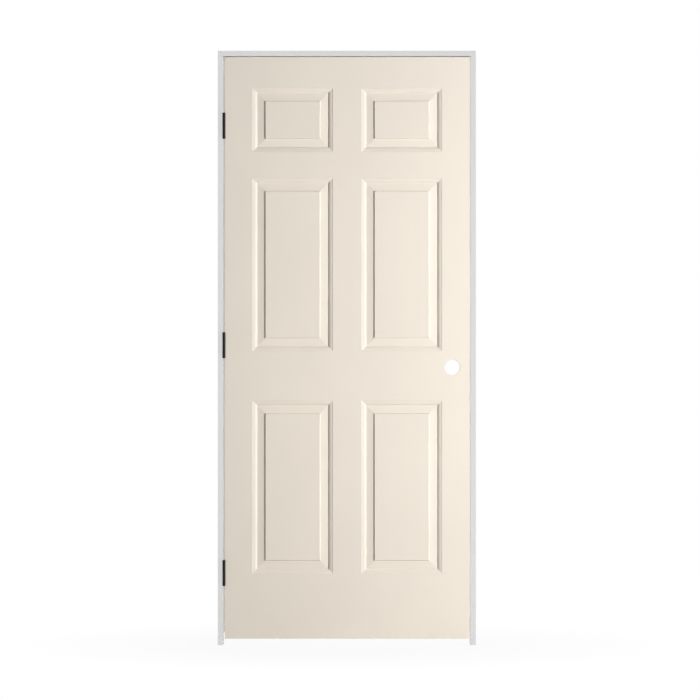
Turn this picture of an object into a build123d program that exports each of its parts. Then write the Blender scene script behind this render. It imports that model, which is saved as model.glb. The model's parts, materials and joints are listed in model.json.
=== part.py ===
from build123d import *
import os
from math import cos, radians, sin, tan

# A prehung interior door: a six-panel moulded hollow-core slab, hung on three loose-pin butt
# hinges in a pine frame with planted stops. The frame stands on the floor at Z = 0, the hinges
# are on the -X side, and the door opens towards -Y. Sizes are in millimetres.

# Slab
slab_width = 855.6
slab_height = 2032.0
slab_thickness = 34.9
skin_thickness = 3.2
stile_width = 28.6
rail_height = 28.6
lock_edge_bevel = 3.0  # degrees, so that the closing edge clears the strike jamb

# Panel layout on each face of the slab
stile_face = 97.0
mullion_face = 101.0
top_rail_face = 109.0
top_panel_height = 221.0
frieze_rail_face = 93.5
lock_rail_face = 174.0
bottom_rail_face = 228.5

# Panel moulding, from its outer edge inwards: quirk, ovolo, fillet, groove, bevel, step
quirk_run = 1.4
quirk_depth = 3.0
ovolo_run = 12.6
ovolo_depth = 2.2
fillet_run = 1.6
groove_run = 1.8
groove_depth = 8.4
bevel_run = 26.5
bevel_rise = 3.5
step_run = 1.6
moulding_land = 3.0  # flat skin on each side of the moulding, where its back starts to dip

# Lock preparation
lock_rise = 947.8  # slab foot to the bore's centre
backset = 60.3
lock_bore_radius = 27.0
latch_bore_radius = 12.7
latch_plate_width = 25.4
latch_plate_height = 57.2
latch_plate_depth = 2.8
latch_plate_corner = 6.4
lock_block_height = 356.0
strike_plate_width = 28.6
strike_plate_height = 57.2
strike_plate_depth = 1.6
strike_plate_corner = 6.4
strike_bore_radius = 12.7

# Honeycomb core
cell_radius = 135.0
cell_wall = 1.2

# Gaps round the slab
undercut = 22.2
head_gap = 3.2
strike_gap = 2.4
stop_gap = 1.6

# Frame
jamb_thickness = 19.05
jamb_depth = 115.9
jamb_edge_round = 1.5
head_housing = 9.5  # depth of the rebate at the top of each side jamb
stop_width = 34.9
stop_thickness = 11.1
stop_edge_thickness = 4.8
stop_moulding_width = 12.0
stop_foot = 44.0  # the stops are cut short of the floor

# Staples that hold the head jamb in its rebates
staple_wire = 1.6
staple_crown = 11.1
staple_leg = 38.0
staple_spacing = 40.0
staples_per_corner = 3

# Butt hinges
leaf_height = 88.9
leaf_reach = 44.45  # pin centre to the leaf's free edge
leaf_thickness = 2.2
leaf_corner_radius = 15.9
leaf_backset = 6.35  # wood left behind the leaf's free edge
leaf_seat_gap = 0.2
barrel_radius = 5.0
knuckle_count = 5
knuckle_end_gap = 0.3
knuckle_clearance = 0.4
pin_clearance = 0.05
pin_head_radius = 5.2
pin_head_height = 1.2
pin_tip_length = 0.8
top_hinge_drop = 240.6  # slab head to the hinge's centre
bottom_hinge_rise = 229.8  # slab foot to the hinge's centre
middle_hinge_lift = 14.2  # above the midpoint of the other two

cut_overrun = 1.0

# Places worked out from the sizes
pin_hole_radius = barrel_radius - leaf_thickness
hinge_gap = 2 * pin_hole_radius
pin_projection = leaf_reach - (slab_thickness - leaf_backset)
hinge_reach = pin_projection + pin_head_radius
opening_width = hinge_gap + slab_width + strike_gap
opening_height = undercut + slab_height + head_gap
frame_height = opening_height + jamb_thickness

hinge_face_x = -opening_width / 2
strike_face_x = opening_width / 2
slab_left_x = hinge_face_x + hinge_gap
slab_right_x = slab_left_x + slab_width
slab_centre_x = (slab_left_x + slab_right_x) / 2
front_y = (hinge_reach - jamb_depth) / 2
slab_back_y = front_y + slab_thickness
jamb_back_y = front_y + jamb_depth
jamb_centre_y = front_y + jamb_depth / 2
core_y = front_y + slab_thickness / 2
core_thickness = slab_thickness - 2 * skin_thickness
pin_x = hinge_face_x + hinge_gap / 2
pin_y = front_y - pin_projection
slab_foot_z = undercut
slab_head_z = undercut + slab_height
slab_centre_z = (slab_foot_z + slab_head_z) / 2
lock_x = slab_right_x - backset
lock_z = slab_foot_z + lock_rise
latch_floor_x = slab_right_x - slab_thickness / 2 * tan(radians(lock_edge_bevel)) - latch_plate_depth
stop_y = slab_back_y + stop_gap

top_hinge_z = slab_head_z - top_hinge_drop
bottom_hinge_z = slab_foot_z + bottom_hinge_rise
middle_hinge_z = (top_hinge_z + bottom_hinge_z) / 2 + middle_hinge_lift
hinge_heights = {"top": top_hinge_z, "middle": middle_hinge_z, "bottom": bottom_hinge_z}

# Distances across the moulding, from its outer edge
ovolo_start = quirk_run
ovolo_end = ovolo_start + ovolo_run
groove_start = ovolo_end + fillet_run
groove_end = groove_start + groove_run
bevel_end = groove_end + bevel_run
field_edge = bevel_end + step_run
band = field_edge + moulding_land
bevel_top_depth = groove_depth - bevel_rise

# Panel centres on a face, measured from the middle of the slab
panel_width = (slab_width - 2 * stile_face - mullion_face) / 2
tall_panel_height = (
    slab_height - top_rail_face - top_panel_height - frieze_rail_face - lock_rail_face - bottom_rail_face
) / 2
panel_offset_x = (mullion_face + panel_width) / 2
top_row_y = slab_height / 2 - top_rail_face - top_panel_height / 2
middle_row_y = top_row_y - top_panel_height / 2 - frieze_rail_face - tall_panel_height / 2
bottom_row_y = middle_row_y - tall_panel_height - lock_rail_face
panel_rows = [
    (top_row_y, top_panel_height),
    (middle_row_y, tall_panel_height),
    (bottom_row_y, tall_panel_height),
]
panels = [((side * panel_offset_x, row_y), height) for row_y, height in panel_rows for side in (-1, 1)]

# Working planes: both faces of the slab look outwards, with local X across and local Y up
front_face = Plane((slab_centre_x, front_y, slab_centre_z), x_dir=(1, 0, 0), z_dir=(0, -1, 0))
back_face = Plane((slab_centre_x, slab_back_y, slab_centre_z), x_dir=(-1, 0, 0), z_dir=(0, 1, 0))
lock_plane = Plane((lock_x, front_y, lock_z), x_dir=(1, 0, 0), z_dir=(0, -1, 0))
latch_plane = Plane((latch_floor_x, core_y, lock_z), x_dir=(0, 1, 0), z_dir=(1, 0, 0))
strike_plane = Plane((strike_face_x, core_y, lock_z), x_dir=(0, -1, 0), z_dir=(-1, 0, 0))
bevel_normal = (cos(radians(lock_edge_bevel)), sin(radians(lock_edge_bevel)), 0)
bevel_plane = Plane((slab_right_x, front_y, slab_centre_z), z_dir=bevel_normal)


def write(piece, name):
    """Labels a finished piece and saves it under that name."""
    piece.part.label = name
    export_step(piece.part, f"parts/{name}.step")


def leaf_plane(face_x, centre_z):
    """Plane of a leaf's visible face: origin on the pin's line, local X into the wood, local Y up."""
    return Plane((face_x, pin_y, centre_z), x_dir=(0, 1, 0), z_dir=(1, 0, 0))


def leaf_outline(plane, start, grow):
    """Leaf shape from start, measured from the pin, to its round-cornered free edge."""
    end = leaf_reach + grow
    height = leaf_height + 2 * grow
    with BuildSketch(plane) as outline:
        with Locations(((start + end) / 2, 0)):
            Rectangle(end - start, height)
        fillet(outline.vertices().group_by(Axis.X)[-1], leaf_corner_radius + grow)
    return outline.sketch


def leaf_mortise(face_x, centre_z):
    """Outline of the seat that a leaf is let into, open at the front."""
    return leaf_outline(leaf_plane(face_x, centre_z), pin_projection - cut_overrun, leaf_seat_gap)


def moulding_section(plane):
    """Section of the pressed skin across one panel moulding: local X inwards, local Y out of the face."""
    with BuildSketch(plane) as section:
        with BuildLine():
            quirk = Polyline((-moulding_land, 0), (0, 0), (ovolo_start, -quirk_depth))
            ovolo = TangentArc(quirk @ 1, (ovolo_end, -quirk_depth - ovolo_depth), tangent=(1, 0))
            Polyline(
                ovolo @ 1,
                (groove_start, -groove_depth),
                (groove_end, -groove_depth),
                (bevel_end, -bevel_top_depth),
                (field_edge, 0),
                (band, 0),
                (band, -skin_thickness),
                (bevel_end, -bevel_top_depth - skin_thickness),
                (groove_end, -groove_depth - skin_thickness),
                (ovolo_end, -groove_depth - skin_thickness),
                (-moulding_land, -skin_thickness),
                quirk @ 0,
            )
        make_face()
    return section.sketch


def moulded_sheet(face):
    """One pressed door skin: a flat sheet with a mitred moulding round each of its raised panels."""
    with BuildPart() as sheet:
        with BuildSketch(face):
            Rectangle(slab_width, slab_height)
            for centre, height in panels:
                with Locations(centre):
                    Rectangle(panel_width + 2 * moulding_land, height + 2 * moulding_land, mode=Mode.SUBTRACT)
                    Rectangle(panel_width - 2 * band, height - 2 * band)
        extrude(amount=-skin_thickness)
        for centre, height in panels:
            with BuildLine(Plane(face.from_local_coords(centre), x_dir=face.x_dir, z_dir=face.z_dir)) as rim:
                Polyline(
                    (-panel_width / 2, -height / 2),
                    (panel_width / 2, -height / 2),
                    (panel_width / 2, height / 2),
                    (-panel_width / 2, height / 2),
                    close=True,
                )
            along = rim.line % 0
            section = moulding_section(Plane(rim.line @ 0, x_dir=face.z_dir.cross(along), z_dir=along))
            sweep(section, path=rim.line, transition=Transition.RIGHT)
    return sheet.part


def stop_strip(plane, length):
    """Straight stop moulding: local X away from the jamb, local Y away from the door, square at the door."""
    flat_width = stop_width - stop_moulding_width
    with BuildPart() as strip:
        with BuildSketch(plane):
            with BuildLine():
                square_edge = Polyline((0, stop_width), (0, 0), (stop_thickness, 0), (stop_thickness, flat_width))
                middle = (
                    (stop_thickness + stop_edge_thickness) / 2,
                    flat_width + stop_moulding_width / 2,
                )
                crest = TangentArc(square_edge @ 1, middle, tangent=(0, 1))
                hollow = TangentArc(crest @ 1, (stop_edge_thickness, stop_width), tangent=crest % 1)
                Line(hollow @ 1, square_edge @ 0)
            make_face()
        extrude(amount=length)
    return strip.part


def staple_places(side):
    """Middles of the staple crowns on the outer face of one side jamb."""
    outer_x = side * (opening_width / 2 + jamb_thickness)
    middle_z = opening_height + jamb_thickness / 2
    return [
        Plane(
            (outer_x, jamb_centre_y + (row - (staples_per_corner - 1) / 2) * staple_spacing, middle_z),
            x_dir=(0, 1, 0),
            z_dir=(side, 0, 0),
        )
        for row in range(staples_per_corner)
    ]


os.makedirs("parts", exist_ok=True)

# One staple, lying in the plane of its crown with its legs along local -Z
with BuildPart() as staple:
    leg_offset = (staple_crown - staple_wire) / 2
    with BuildSketch(Plane.XY):
        Rectangle(staple_crown, staple_wire)
    extrude(amount=-staple_wire)
    with BuildSketch(Plane.XY):
        with Locations((-leg_offset, 0), (leg_offset, 0)):
            Rectangle(staple_wire, staple_wire)
    extrude(amount=-staple_leg)

all_staple_places = staple_places(-1) + staple_places(1)
with BuildPart() as head_staples:
    with Locations(*all_staple_places):
        add(staple.part)
write(head_staples, "head_staples")

# Head jamb, housed at both ends
with BuildPart() as head_jamb:
    with BuildSketch(Plane.XY.offset(opening_height)):
        with Locations((0, jamb_centre_y)):
            Rectangle(opening_width + 2 * head_housing, jamb_depth)
    extrude(amount=jamb_thickness)
    under_edges = head_jamb.faces().sort_by(Axis.Z)[0].edges().filter_by(Axis.X)
    fillet(under_edges, jamb_edge_round)
    with Locations(*all_staple_places):
        add(staple.part, mode=Mode.SUBTRACT)
write(head_jamb, "head_jamb")

# Hinge jamb, with a rebate at the head and seats for the leaves
with BuildPart() as hinge_jamb:
    with BuildSketch(Plane.XY):
        with Locations((hinge_face_x - jamb_thickness / 2, jamb_centre_y)):
            Rectangle(jamb_thickness, jamb_depth)
    extrude(amount=frame_height)
    fillet(hinge_jamb.faces().sort_by(Axis.X)[-1].edges().filter_by(Axis.Z), jamb_edge_round)
    with BuildSketch(Plane.XY.offset(opening_height)):
        with Locations((hinge_face_x - head_housing / 2, jamb_centre_y)):
            Rectangle(head_housing, jamb_depth)
    extrude(amount=jamb_thickness, mode=Mode.SUBTRACT)
    for hinge_z in hinge_heights.values():
        extrude(leaf_mortise(hinge_face_x, hinge_z), amount=-leaf_thickness, mode=Mode.SUBTRACT)
    with Locations(*staple_places(-1)):
        add(staple.part, mode=Mode.SUBTRACT)
write(hinge_jamb, "hinge_jamb")

# Strike jamb, with a rebate at the head and the seat and bore for a strike plate
with BuildPart() as strike_jamb:
    with BuildSketch(Plane.XY):
        with Locations((strike_face_x + jamb_thickness / 2, jamb_centre_y)):
            Rectangle(jamb_thickness, jamb_depth)
    extrude(amount=frame_height)
    fillet(strike_jamb.faces().sort_by(Axis.X)[0].edges().filter_by(Axis.Z), jamb_edge_round)
    with BuildSketch(Plane.XY.offset(opening_height)):
        with Locations((strike_face_x + head_housing / 2, jamb_centre_y)):
            Rectangle(head_housing, jamb_depth)
    extrude(amount=jamb_thickness, mode=Mode.SUBTRACT)
    with BuildSketch(strike_plane):
        RectangleRounded(strike_plate_width, strike_plate_height, strike_plate_corner)
    extrude(amount=-strike_plate_depth, mode=Mode.SUBTRACT)
    with Locations(strike_plane):
        Hole(strike_bore_radius)
    with Locations(*staple_places(1)):
        add(staple.part, mode=Mode.SUBTRACT)
write(strike_jamb, "strike_jamb")

# Stops, mitred at the head and square against the closed door
hinge_mitre = Plane((hinge_face_x, stop_y, opening_height), z_dir=(1, 0, 1))
strike_mitre = Plane((strike_face_x, stop_y, opening_height), z_dir=(-1, 0, 1))
stop_length = opening_height - stop_foot

with BuildPart() as hinge_side_stop:
    foot = Plane((hinge_face_x, stop_y, stop_foot), x_dir=(1, 0, 0), z_dir=(0, 0, 1))
    add(stop_strip(foot, stop_length))
    split(bisect_by=hinge_mitre, keep=Keep.BOTTOM)
write(hinge_side_stop, "hinge_side_stop")

with BuildPart() as strike_side_stop:
    head = Plane((strike_face_x, stop_y, opening_height), x_dir=(-1, 0, 0), z_dir=(0, 0, -1))
    add(stop_strip(head, stop_length))
    split(bisect_by=strike_mitre, keep=Keep.BOTTOM)
write(strike_side_stop, "strike_side_stop")

with BuildPart() as head_stop:
    corner = Plane((hinge_face_x, stop_y, opening_height), x_dir=(0, 0, -1), z_dir=(1, 0, 0))
    add(stop_strip(corner, opening_width))
    split(bisect_by=hinge_mitre, keep=Keep.TOP)
    split(bisect_by=strike_mitre, keep=Keep.TOP)
write(head_stop, "head_stop")

# Pressed skins
with BuildPart() as front_skin:
    add(moulded_sheet(front_face))
    for hinge_z in hinge_heights.values():
        extrude(leaf_mortise(slab_left_x, hinge_z), amount=leaf_thickness, mode=Mode.SUBTRACT)
    with Locations(lock_plane):
        Hole(lock_bore_radius)
    split(bisect_by=bevel_plane, keep=Keep.BOTTOM)
write(front_skin, "front_skin")

with BuildPart() as back_skin:
    add(moulded_sheet(back_face))
    with Locations(lock_plane):
        Hole(lock_bore_radius)
    split(bisect_by=bevel_plane, keep=Keep.BOTTOM)
write(back_skin, "back_skin")

# Timber frame inside the slab
with BuildPart() as hinge_stile:
    with BuildSketch(Plane.XY.offset(slab_foot_z)):
        with Locations((slab_left_x + stile_width / 2, core_y)):
            Rectangle(stile_width, core_thickness)
    extrude(amount=slab_height)
    for hinge_z in hinge_heights.values():
        extrude(leaf_mortise(slab_left_x, hinge_z), amount=leaf_thickness, mode=Mode.SUBTRACT)
write(hinge_stile, "hinge_stile")

with BuildPart() as lock_stile:
    with BuildSketch(Plane.XY.offset(slab_foot_z)):
        with Locations((slab_right_x - stile_width / 2, core_y)):
            Rectangle(stile_width, core_thickness)
    extrude(amount=slab_height)
    split(bisect_by=bevel_plane, keep=Keep.BOTTOM)
    with BuildSketch(latch_plane):
        RectangleRounded(latch_plate_width, latch_plate_height, latch_plate_corner)
    extrude(amount=latch_plate_depth + cut_overrun, mode=Mode.SUBTRACT)
    with Locations(latch_plane):
        Hole(latch_bore_radius, depth=stile_width)
write(lock_stile, "lock_stile")

rail_length = slab_width - 2 * stile_width
rail_feet = {"bottom_rail": slab_foot_z, "top_rail": slab_head_z - rail_height}
for rail_name, rail_foot in rail_feet.items():
    with BuildPart() as rail:
        with BuildSketch(Plane.XY.offset(rail_foot)):
            with Locations((slab_centre_x, core_y)):
                Rectangle(rail_length, core_thickness)
        extrude(amount=rail_height)
    write(rail, rail_name)

lock_block_width = stile_face - moulding_land - stile_width
lock_block_x = slab_right_x - stile_width - lock_block_width / 2
with BuildPart() as lock_block:
    with BuildSketch(Plane.XY.offset(lock_z - lock_block_height / 2)):
        with Locations((lock_block_x, core_y)):
            Rectangle(lock_block_width, core_thickness)
    extrude(amount=lock_block_height)
    with Locations(lock_plane):
        Hole(lock_bore_radius)
    with Locations(latch_plane):
        Hole(latch_bore_radius, depth=latch_floor_x - lock_x)
write(lock_block, "lock_block")

# Expanded paper honeycomb, crushed where the mouldings are pressed in. The hexagons stand point to
# point across the door, and only the web that hangs together is kept.
cell_pitch = cell_radius * 3**0.5
column_pitch = cell_radius * 1.5
core_height = slab_height - 2 * rail_height
cells_across = round(rail_length / column_pitch) + 2
cells_up = round(core_height / cell_pitch) + 2
core_plane = Plane((slab_centre_x, core_y, slab_centre_z), x_dir=(1, 0, 0), z_dir=(0, -1, 0))
with BuildSketch(core_plane) as web:
    Rectangle(rail_length, core_height)
    with HexLocations(cell_pitch / 2, cells_across, cells_up):
        RegularPolygon(cell_radius - cell_wall / 3**0.5, 6, mode=Mode.SUBTRACT)
    with Locations((lock_block_x - slab_centre_x, lock_z - slab_centre_z)):
        Rectangle(lock_block_width, lock_block_height, mode=Mode.SUBTRACT)
with BuildPart() as honeycomb_core:
    extrude(web.sketch.faces().sort_by(SortBy.AREA)[-1], amount=core_thickness / 2, both=True)
    for crushed_face in (front_face, back_face):
        with BuildSketch(crushed_face.offset(-skin_thickness)):
            for centre, height in panels:
                with Locations(centre):
                    Rectangle(panel_width + 2 * moulding_land, height + 2 * moulding_land)
                    Rectangle(panel_width - 2 * band, height - 2 * band, mode=Mode.SUBTRACT)
        extrude(amount=-groove_depth, mode=Mode.SUBTRACT)
write(honeycomb_core, "honeycomb_core")

# Butt hinges: the jamb leaf has the odd knuckles, and the door leaf those between them
knuckle_pitch = (leaf_height + knuckle_end_gap) / knuckle_count
knuckle_length = knuckle_pitch - knuckle_end_gap


def hinge_leaf(face_x, side, centre_z, first_knuckle):
    """A leaf let into the wood on one side of the gap, curled into every second knuckle."""
    foot_z = centre_z - leaf_height / 2
    with BuildPart() as leaf:
        extrude(leaf_outline(leaf_plane(face_x, centre_z), 0, 0), amount=side * leaf_thickness)
        for row in range(knuckle_count):
            row_z = foot_z + row * knuckle_pitch
            if row % 2 == first_knuckle:
                with BuildSketch(Plane((pin_x, pin_y, row_z))):
                    Circle(barrel_radius)
                extrude(amount=knuckle_length)
            else:
                with BuildSketch(Plane((pin_x, pin_y, row_z - knuckle_end_gap))):
                    Circle(barrel_radius + knuckle_clearance)
                extrude(amount=knuckle_pitch + knuckle_end_gap, mode=Mode.SUBTRACT)
        with Locations(Plane((pin_x, pin_y, centre_z))):
            Hole(pin_hole_radius)
    return leaf


for hinge_name, hinge_z in hinge_heights.items():
    write(hinge_leaf(hinge_face_x, -1, hinge_z, 0), f"{hinge_name}_hinge_jamb_leaf")
    write(hinge_leaf(slab_left_x, 1, hinge_z, 1), f"{hinge_name}_hinge_door_leaf")
    barrel_top = hinge_z + leaf_height / 2
    with BuildPart() as hinge_pin:
        with BuildSketch(Plane((pin_x, pin_y, hinge_z - leaf_height / 2 - pin_tip_length))):
            Circle(pin_hole_radius - pin_clearance)
        extrude(amount=leaf_height + pin_tip_length)
        with BuildSketch(Plane((pin_x, pin_y, barrel_top))):
            Circle(pin_head_radius)
        extrude(amount=pin_head_height)
    write(hinge_pin, f"{hinge_name}_hinge_pin")
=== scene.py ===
import json
import math

import bmesh
import bpy
from mathutils import Matrix, Vector

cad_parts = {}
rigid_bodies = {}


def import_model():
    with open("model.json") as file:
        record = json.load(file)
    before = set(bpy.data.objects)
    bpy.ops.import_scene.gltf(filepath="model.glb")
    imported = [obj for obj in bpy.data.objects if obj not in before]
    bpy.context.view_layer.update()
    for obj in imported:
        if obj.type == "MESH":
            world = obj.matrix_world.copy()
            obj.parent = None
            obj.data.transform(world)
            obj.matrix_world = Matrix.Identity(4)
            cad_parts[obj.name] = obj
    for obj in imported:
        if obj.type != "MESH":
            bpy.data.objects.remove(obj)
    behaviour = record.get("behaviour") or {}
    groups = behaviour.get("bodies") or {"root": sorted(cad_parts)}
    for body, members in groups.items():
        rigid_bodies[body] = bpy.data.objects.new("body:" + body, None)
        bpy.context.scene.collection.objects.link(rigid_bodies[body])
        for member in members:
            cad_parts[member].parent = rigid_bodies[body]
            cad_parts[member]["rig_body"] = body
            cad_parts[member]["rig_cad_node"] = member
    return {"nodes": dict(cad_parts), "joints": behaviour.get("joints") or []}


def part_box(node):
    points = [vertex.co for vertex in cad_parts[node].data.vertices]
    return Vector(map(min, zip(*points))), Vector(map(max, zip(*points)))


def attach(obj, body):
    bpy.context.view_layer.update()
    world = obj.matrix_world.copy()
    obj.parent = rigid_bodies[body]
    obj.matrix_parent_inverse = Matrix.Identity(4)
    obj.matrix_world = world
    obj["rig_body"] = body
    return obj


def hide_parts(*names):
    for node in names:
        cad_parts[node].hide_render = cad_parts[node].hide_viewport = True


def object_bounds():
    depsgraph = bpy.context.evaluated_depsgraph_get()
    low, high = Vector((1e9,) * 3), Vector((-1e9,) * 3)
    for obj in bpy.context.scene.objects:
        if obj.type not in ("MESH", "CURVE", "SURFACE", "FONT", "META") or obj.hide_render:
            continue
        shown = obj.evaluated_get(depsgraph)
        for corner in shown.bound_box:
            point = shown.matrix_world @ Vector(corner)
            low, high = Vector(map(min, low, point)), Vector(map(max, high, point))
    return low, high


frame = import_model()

bl_info = {
    "name": "Prehung interior door",
    "version": (1, 0, 0),
    "blender": (4, 5, 0),
    "location": "View3D > Sidebar > Door",
    "description": "Finishes the door and its frame, and adds the hinge screws, the pins and a studio",
    "category": "Object",
}

MM = 0.001
HALF = 0.5
QUARTER_TURN = math.radians(90)
HALF_TURN = math.radians(180)

# Places read from the solids
cad_low, cad_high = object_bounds()
jamb_face_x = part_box("hinge_jamb")[1].x
door_edge_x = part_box("hinge_stile")[0].x
front_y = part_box("front_skin")[0].y
pin_x, pin_y = frame["joints"][0]["pos_m"][:2]

HINGES = ("top", "middle", "bottom")
# Each kind of leaf: the face that shows, how far its screws are turned from +X, and its body
LEAVES = {
    "jamb": (jamb_face_x, 0, "frame"),
    "door": (door_edge_x, HALF_TURN, "door"),
}

FRAME_TIMBER = ("hinge_jamb", "strike_jamb", "head_jamb", "hinge_side_stop", "strike_side_stop", "head_stop")

# The sRGB curve
CHANNEL_TOP = 255
CURVE_KNEE = 0.04045
CURVE_SLOPE = 12.92
CURVE_OFFSET = 0.055
CURVE_POWER = 2.4

# One wave of a wave texture at scale 1, in its own units
WAVE_LENGTH = 2 * math.pi / 20
# The middle of a noise texture's values, which holds most of them
NOISE_SPREAD = (0.32, 0.68)

# Sockets of a Mix node that mixes colours
MIX_SHARE, MIX_FIRST, MIX_SECOND, MIX_RESULT = 0, 6, 7, 2
# Refractive indices of the primer, of wood and paper, and of the black coat
PRIMER_IOR = 1.48
FIBRE_IOR = 1.5
COAT_IOR = 1.4
# Roughness of the black coat, from its shiniest to its dullest places
LEAF_GLEAM = (0.42, 0.52)
PIN_GLEAM = (0.36, 0.46)
SCREW_GLEAM = (0.32, 0.42)

# Small clearances
FLOOR_DROP = 0.3 * MM
BARE_END = 0.3 * MM
CUT_OVERRUN = 0.1 * MM
MERGE_DISTANCE = 0.001 * MM
# The largest angles within one flat face and within one smooth surface
FLAT_ANGLE = math.radians(0.3)
SMOOTH_ANGLE = math.radians(35)
# The parts of a face's normal along an axis, past which the face leans or faces that way
LEAN_SHARE = 0.01
FACING_SHARE = 0.5
# A screw's point as a share of its shank
TIP_SHARE = 0.05

# Sides of round pieces, and steps of rounded edges
COUNTERSINK_SIDES = 40
PIN_SIDES = 48
SCREW_SIDES = 32
FLOOR_SIDES = 96
SKIN_STEPS = 3
LEAF_STEPS = 2
DOME_STEPS = 5


def linear(hex_colour):
    """Turns an sRGB hex colour into linear red, green and blue."""
    channels = [int(hex_colour[start:start + 2], 16) / CHANNEL_TOP for start in (1, 3, 5)]
    return [
        c / CURVE_SLOPE if c <= CURVE_KNEE else ((c + CURVE_OFFSET) / (1 + CURVE_OFFSET)) ** CURVE_POWER
        for c in channels
    ]


def solid(colour):
    """A property's colour with full opacity."""
    return (*colour, 1)


def add_node(tree, kind, inputs=(), **settings):
    """Adds a node, sets its options, and sets its inputs or links them to a node or one of its outputs."""
    made = tree.nodes.new(kind)
    for option, value in settings.items():
        setattr(made, option, value)
    for socket, value in dict(inputs).items():
        if isinstance(value, bpy.types.Node):
            tree.links.new(value.outputs[0], made.inputs[socket])
        elif isinstance(value, bpy.types.NodeSocket):
            tree.links.new(value, made.inputs[socket])
        else:
            made.inputs[socket].default_value = value
    return made


def new_material(name):
    """Starts an empty material and returns it with its node tree."""
    material = bpy.data.materials.new(name)
    material.use_nodes = True
    material.node_tree.nodes.clear()
    return material, material.node_tree


def repeats(*sizes):
    """How often each size goes into a metre, which is the scale of a pattern of that size."""
    return [1 / size for size in sizes]


def ranges(old, new):
    """The settings that map one range of values onto another."""
    return dict(zip(("From Min", "From Max", "To Min", "To Max"), (*old, *new)))


def shades(colour, shade_shares):
    """A darker and a lighter shade of a colour."""
    return [solid([channel * share for channel in colour]) for share in shade_shares]


def primed_hardboard(finish):
    """Wood fibre pressed in a heated mould and sprayed with cream primer."""
    # The eye sees smooth, faintly chalky cream with a soft cloudiness where the coat is thicker, and close by
    # the stipple of the spray. Real stipple is under 1 mm; here it is coarser, so that it shows.
    shade_shares, chalk = (0.985, 1.01), (0.68, 0.8)
    material, tree = new_material("primed_pressed_hardboard")
    place = add_node(tree, "ShaderNodeTexCoord").outputs["Object"]
    spots = add_node(tree, "ShaderNodeMapping", {"Vector": place, "Scale": repeats(*[finish.spray_size] * 3)})
    stipple = add_node(tree, "ShaderNodeTexNoise", {"Vector": spots, "Scale": 1, "Detail": 2})
    relief = add_node(
        tree, "ShaderNodeBump", {"Strength": 1, "Distance": finish.spray_depth, "Height": stipple}
    )
    drifts = add_node(tree, "ShaderNodeMapping", {"Vector": place, "Scale": repeats(*finish.cloud_size)})
    cloud = add_node(tree, "ShaderNodeTexNoise", {"Vector": drifts, "Scale": 1, "Detail": 3})
    mottle = add_node(tree, "ShaderNodeMapRange", {"Value": cloud, **ranges(NOISE_SPREAD, (0, 1))})
    low, high = shades(finish.skin_colour, shade_shares)
    paint = add_node(
        tree, "ShaderNodeMix", {MIX_SHARE: mottle, MIX_FIRST: low, MIX_SECOND: high}, data_type="RGBA"
    )
    dull = add_node(tree, "ShaderNodeMapRange", {"Value": stipple, **ranges(NOISE_SPREAD, chalk)})
    shader = add_node(
        tree,
        "ShaderNodeBsdfPrincipled",
        {
            "Base Color": paint.outputs[MIX_RESULT],
            "Roughness": dull,
            "IOR": PRIMER_IOR,
            "Specular IOR Level": finish.primer_gleam,
            "Normal": relief,
        },
    )
    add_node(tree, "ShaderNodeOutputMaterial", {"Surface": shader})
    return material


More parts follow.
